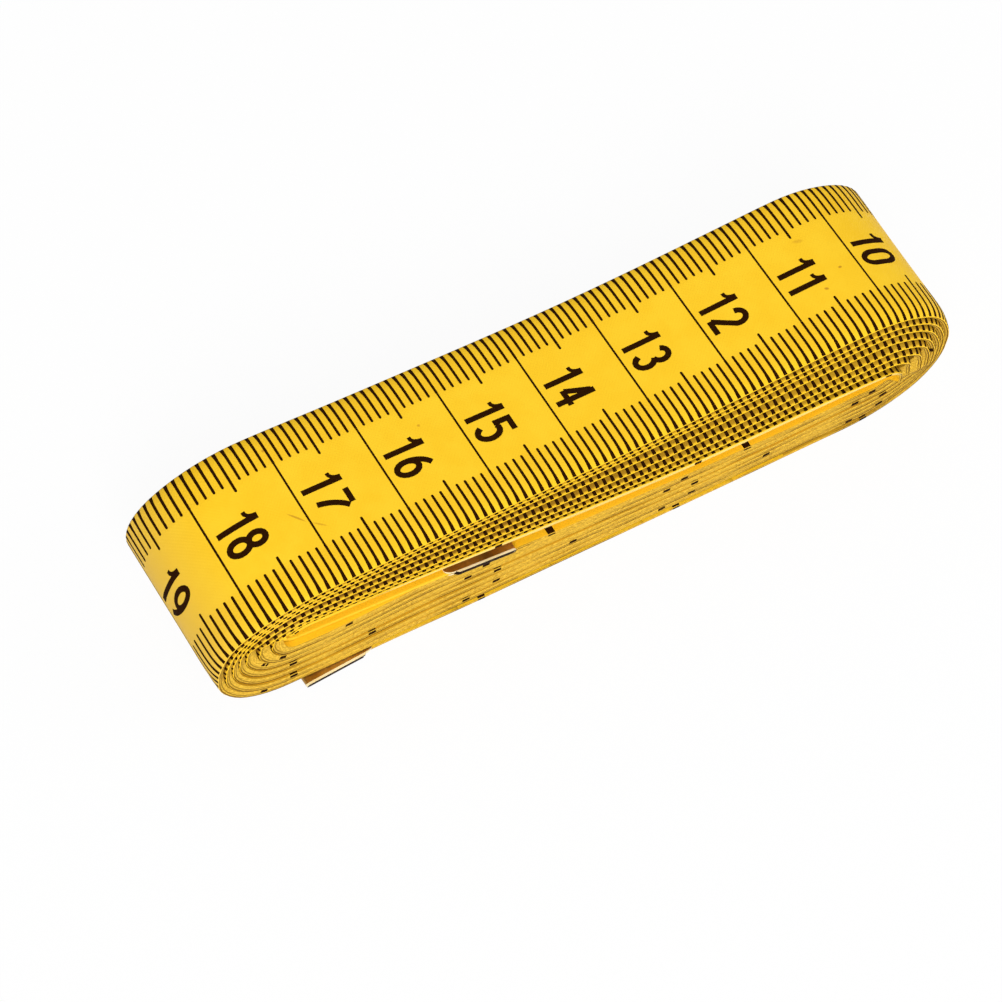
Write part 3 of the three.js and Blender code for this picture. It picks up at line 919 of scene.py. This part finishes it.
def digit_paths(digit):
    """Middle lines of a plain digit's strokes, right and up as it is read, with the foot at zero."""
    w = (DIGIT_WIDTH - DIGIT_STROKE) / 2
    h = DIGIT_HEIGHT - DIGIT_STROKE
    s = DIGIT_STROKE / 2
    if digit == 0:
        return [arc(0, h - 1.3, w, 1.3, 0, 180) + arc(0, 1.3, w, 1.3, 180, 360) + [(w, h - 1.3)]]
    if digit == 1:
        flag = [(-0.66, h - 0.86), (-0.3, h - 0.82), (-0.02, h - 0.6), (0.16, h - 0.2), (0.24, h + s)]
        return [[(0.42, -s), (0.42, h + s)], flag]
    if digit == 2:
        return [arc(0, h - 1.05, w, 1.05, 175, -25) + [(-w, 0.15)], [(-w - 0.1, 0), (w + 0.15, 0)]]
    if digit == 3:
        top = arc(-0.05, h - 0.95, w - 0.06, 0.95, 160, -80)
        return [top, arc(-0.05, 1.13, w, 1.13, 85, -160)]
    if digit == 4:
        bar = [(-w - 0.2, 1.1), (w + 0.2, 1.1)]
        return [[(0.32, -s), (0.32, h + s)], [(0.2, h), (-w - 0.05, 1.2)], bar]
    if digit == 5:
        bowl = arc(-0.08, 1.3, w + 0.05, 1.3, 118, -150, 14)
        return [[(w, h), (-w + 0.05, h)], [(-w + 0.05, h + s), (-w, 2.25)], bowl]
    if digit == 6:
        return [arc(0, 1.28, w, 1.28, 0, 360, 18), arc(w + 0.35, 1.3, 2 * w + 0.35, h - 1.2, 176, 112)]
    if digit == 7:
        return [[(-w - 0.1, h), (w + 0.1, h)], arc(2.6, -0.6, 3.0, 4.8, 119, 168)]
    if digit == 8:
        return [arc(0, h - 0.92, w - 0.1, 0.92, -90, 270, 16), arc(0, 1.12, w, 1.12, -90, 270, 18)]
    return [[(-x, h - y) for x, y in path] for path in digit_paths(6)]


def print_number(ink, number, mark):
    """Writes a number across the tape, its foot towards its own line and its top towards zero."""
    digits = [int(c) for c in str(number)]
    widths = [ONE_WIDTH if d == 1 else DIGIT_WIDTH for d in digits]
    total = sum(widths) + DIGIT_GAP * (len(digits) - 1)
    at = -total / 2
    for digit, width in zip(digits, widths):
        for layer, path in enumerate(digit_paths(digit)):
            points = [(mark - DIGIT_FOOT - DIGIT_STROKE / 2 - y, NUMBER_MIDDLE - at - width / 2 - x)
                      for x, y in path]
            stroke = FLAG_STROKE if digit == 1 and layer else DIGIT_STROKE
            ink.stroke(points, stroke, layer)
        at += width + DIGIT_GAP


def print_scale(name, start, stop):
    """The printed scale between two distances from the outer end, as one thin layer of ink."""
    ink = InkSheet()
    for millimetre in range(1, int(TAPE_LENGTH)):
        mark = millimetre - SCALE_START
        if not start + SEAM_MARGIN < mark < stop - SEAM_MARGIN:
            continue
        extra = HALF_TICK_EXTRA if millimetre % 10 == 5 else 0.0
        near, far = NEAR_TICK + extra, TAPE_WIDTH - FAR_TICK - extra
        ink.tick(mark, TICK_WIDTH, EDGE_ROUND, near)
        ink.tick(mark, TICK_WIDTH, TAPE_WIDTH - EDGE_ROUND, far)
        if millimetre % 10 == 0:
            ink.bar(mark, LINE_WIDTH, near - TICK_WIDTH, far + TICK_WIDTH, 1)
    for number in range(1, int(TAPE_LENGTH / 10) + 1):
        mark = 10 * number - SCALE_START
        if start + SEAM_MARGIN < mark - DIGIT_HEIGHT - DIGIT_FOOT and mark < stop:
            print_number(ink, number, mark)
    for bar in range(int(TAPE_LENGTH / INCH) + 1):
        mark = INCH_START + bar * INCH
        if start + INCH_BAR_MARGIN < mark < stop - INCH_BAR_MARGIN:
            if not CLIP_COVERS[0] < mark < CLIP_COVERS[1]:
                ink.bar(mark, INCH_BAR_WIDTH, EDGE_ROUND, INCH_BAR_LENGTH, back=True)
            far = TAPE_WIDTH - EDGE_ROUND
            ink.bar(mark, INCH_BAR_WIDTH, TAPE_WIDTH - INCH_BAR_LENGTH, far, back=True)
            ink.bleed(mark, INCH_BAR_WIDTH)
    return ink.build(name)


# Stretches of tape: name, from, to, the two bodies on either side of its hinge, the node it stands for
HINGES = {k: k * TAIL_PIECE_LENGTH for k in (4, 3, 2, 1)}
HALF_PIECE = TAIL_PIECE_LENGTH / 2
INNER_SEAM = 1473.6
INNER_FOLLOWS = 1479.0
STRETCHES = [
    ("tape_main", HINGES[4] + HALF_PIECE, INNER_SEAM, None, "tape_coil"),
    ("tape_bend_4", HINGES[4] - HALF_PIECE, HINGES[4] + HALF_PIECE, ("coil", "tail_4"), "tape_tail_4"),
    ("tape_bend_3", HINGES[3] - HALF_PIECE, HINGES[3] + HALF_PIECE, ("tail_4", "tail_3"), "tape_tail_3"),
    ("tape_bend_2", HINGES[2] - HALF_PIECE, HINGES[2] + HALF_PIECE, ("tail_3", "tail_2"), "tape_tail_2"),
    ("tape_end", 0.0, HINGES[1] + HALF_PIECE, ("tail_2", "tail_1"), "tape_tail_1"),
    ("tape_inner_end", INNER_SEAM, TAPE_LENGTH, ("coil", "inner_tail"), "tape_inner_tail"),
]


def attach(piece, start, stop, bodies):
    """Lets a piece ride on the coil; a piece between two bodies only has its place baked into its mesh."""
    if bodies is None:
        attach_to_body(piece, "coil")
        return
    if bodies[1] == "inner_tail":
        first, last = start, INNER_FOLLOWS
    else:
        first, last = stop, stop - TAIL_PIECE_LENGTH
    middle = TAPE_WIDTH / 2
    tape_points(first, middle, 0.0)
    tape_points(last, middle, 0.0)
    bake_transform(piece)


def make_tape():
    """Every stretch of cloth with its printed scale."""
    for name, start, stop, bodies, node in STRETCHES:
        cloth = cloth_strip(name, start, stop)
        attach(cloth, start, stop, bodies)
        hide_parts(node)
        scale = print_scale(name + "_scale", start, stop)
        attach(scale, start, stop, bodies)


make_tape()


def clip_rows(shape):
    """Middle of the folded sheet as rows of points, from one side to the other: along the tape from
    its end, across from its middle, and out of its face."""
    inner = CORE_THICKNESS / 2 + CLIP_CLEARANCE
    middle = inner + CLIP_SHEET / 2
    fold = inner - CLIP_END_GAP - shape["shift"]
    tip = fold - inner - CLIP_SHEET + CLIP_LENGTH + shape["extra"]
    half = TAPE_WIDTH / 2 + CLIP_OVERHANG
    turns = np.linspace(0, math.pi / 2, CLIP_SIDE_STEPS + 1)
    side = [(-half, tip - shape["cut"])]
    side += [(CLIP_RIM - half + (shape["corner"] - CLIP_RIM) * (1 - math.cos(a)),
              tip - shape["cut"] * (1 - CLIP_RIM_SHARE) * (1 - math.sin(a))) for a in turns]
    side += [(-y, end) for y, end in reversed(side)]
    bend = np.linspace(math.pi / 2, 1.5 * math.pi, CLIP_FOLD_STEPS + 1)
    rows = []
    for y, end in side:
        leg = np.linspace(end, fold, CLIP_LEG_STEPS + 1)
        low = y * (1 - CLIP_LOWER_INSET / half)
        row = [(x, y, middle) for x in leg[:-1]]
        for a in bend:
            drop = (1 + math.sin(a)) / 2
            row.append((fold + middle * math.cos(a), low + (y - low) * drop, middle * math.sin(a)))
        row += [(x, low, -middle) for x in leg[-2::-1]]
        rows.append(row)
    return rows


def make_clip(name, node, mark, towards_inside, body, shape):
    """A strip of brass folded over an end of the tape, with rounded corners at its open side."""
    rows = clip_rows(shape)
    count = len(rows[0])
    bearing = CLIP_BEARING if towards_inside else -CLIP_BEARING
    ends = tape_points(np.array([mark, mark + bearing]), TAPE_WIDTH / 2, 0.0)
    origin = Vector(ends[0])
    along = Vector(ends[1]) - origin
    along.y = 0
    along = (along.normalized() + Vector((0, shape["skew"], 0))).normalized()
    origin.y -= shape["nearer"] * MM
    out = along.cross(Vector((0, 1, 0))).normalized()
    across = out.cross(along)
    if not towards_inside:
        out = -out
    vertices = [origin + (along * x + across * y + out * z) * MM for row in rows for x, y, z in row]
    faces = [(i * count + k, i * count + k + 1, (i + 1) * count + k + 1, (i + 1) * count + k)
             for i in range(len(rows) - 1) for k in range(count - 1)]
    # Strips by each side edge: painted highlight on the upper leg and painted shade on the lower leg; the
    # solidify's rim faces take the next material, so the side edges' thickness gets painted shade
    sheet, highlight_rim, dark = range(3)
    kinds = [sheet if 0 < i < len(rows) - 2 else highlight_rim if k < count / 2 else dark
             for i in range(len(rows) - 1) for k in range(count - 1)]
    clip = new_object(name, vertices, faces, [BRASS, RIM_HIGHLIGHT, BRASS_EDGE_SHADE], kinds)
    thick = clip.modifiers.new("sheet", "SOLIDIFY")
    thick.thickness = CLIP_SHEET * MM
    thick.offset = 0.0
    thick.material_offset_rim = highlight_rim
    soft = clip.modifiers.new("edges", "BEVEL")
    soft.width = CLIP_EDGE_ROUND * MM
    soft.segments = CLIP_EDGE_STEPS
    soft.limit_method = "ANGLE"
    soft.angle_limit = math.radians(CLIP_EDGE_ANGLE)
    soft.material = -1
    for modifier in list(clip.modifiers):
        with bpy.context.temp_override(object=clip, active_object=clip):
            bpy.ops.object.modifier_apply(modifier=modifier.name)
    clip.data.polygons.foreach_set("use_smooth", np.ones(len(clip.data.polygons), bool))
    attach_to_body(clip, body)
    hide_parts(node)


make_clip("outer_clip_sheet", "outer_clip", 0.0, True, "tail_1", OUTER_CLIP_SHAPE)
make_clip("inner_clip_sheet", "inner_clip", TAPE_LENGTH, False, "inner_tail", INNER_CLIP_SHAPE)


def make_floor():
    """A white floor with the coil's soft shadow, brightened where it is seen and not as a light."""
    size = FLOOR_HALF_SIZE
    corners = [(-size, -size, 0), (size, -size, 0), (size, size, 0), (-size, size, 0)]
    material, tree, shader = node_tree("floor_white")
    shader.inputs["Base Color"].default_value = (FLOOR_WHITE, FLOOR_WHITE, FLOOR_WHITE, 1.0)
    shader.inputs["Roughness"].default_value = 0.9
    shader.inputs["Specular IOR Level"].default_value = 0.0
    glow = add(tree, "ShaderNodeEmission")
    path = add(tree, "ShaderNodeLightPath")
    blend = add(tree, "ShaderNodeMixShader")
    seen = path.outputs["Is Camera Ray"]
    for kind in ("Is Glossy Ray", "Is Transmission Ray"):
        seen = math_node(tree, "MAXIMUM", seen, path.outputs[kind])
    tree.links.new(product(tree, seen, FLOOR_GLOW), blend.inputs[0])
    tree.links.new(shader.outputs[0], blend.inputs[1])
    tree.links.new(glow.outputs[0], blend.inputs[2])
    tree.links.new(blend.outputs[0], tree.nodes["Material Output"].inputs["Surface"])
    floor = new_object("floor", corners, [(0, 1, 2, 3)], [material])
    floor.location.z = -FLOOR_DROP


def make_light():
    """An even world, white where the camera sees it, and the soft lights."""
    world = bpy.data.worlds.new("studio")
    bpy.context.scene.world = world
    world.use_nodes = True
    background = world.node_tree.nodes["Background"]
    background.inputs["Color"].default_value = (1.0, 1.0, 1.0, 1.0)
    path = add(world.node_tree, "ShaderNodeLightPath")
    strength = math_node(world.node_tree, "MAXIMUM", path.outputs["Is Camera Ray"], WORLD_LIGHT)
    world.node_tree.links.new(strength, background.inputs["Strength"])
    for name, place, size, power in SOFT_LIGHTS:
        lamp = bpy.data.lights.new(name, "AREA")
        lamp.energy = power
        lamp.size = size
        obj = bpy.data.objects.new(name, lamp)
        obj.location = place
        obj.rotation_euler = (LIGHT_TARGET - Vector(place)).to_track_quat("-Z", "Y").to_euler()
        bpy.context.scene.collection.objects.link(obj)


def make_camera():
    """The camera, placed as it fits the photograph."""
    data = bpy.data.cameras.new("camera")
    data.lens = CAMERA_LENS
    data.sensor_width = SENSOR
    data.clip_start = CAMERA_NEAR
    camera = bpy.data.objects.new("camera", data)
    bpy.context.scene.collection.objects.link(camera)
    forward = CAMERA_FORWARD.normalized()
    right = (CAMERA_RIGHT - forward * CAMERA_RIGHT.dot(forward)).normalized()
    up = right.cross(forward)
    axes = Matrix((right, up, -forward)).transposed()
    camera.matrix_world = Matrix.Translation(CAMERA_EYE) @ axes.to_4x4()
    bpy.context.scene.camera = camera


make_floor()
make_light()
make_camera()
bpy.context.scene.view_settings.view_transform = "Standard"
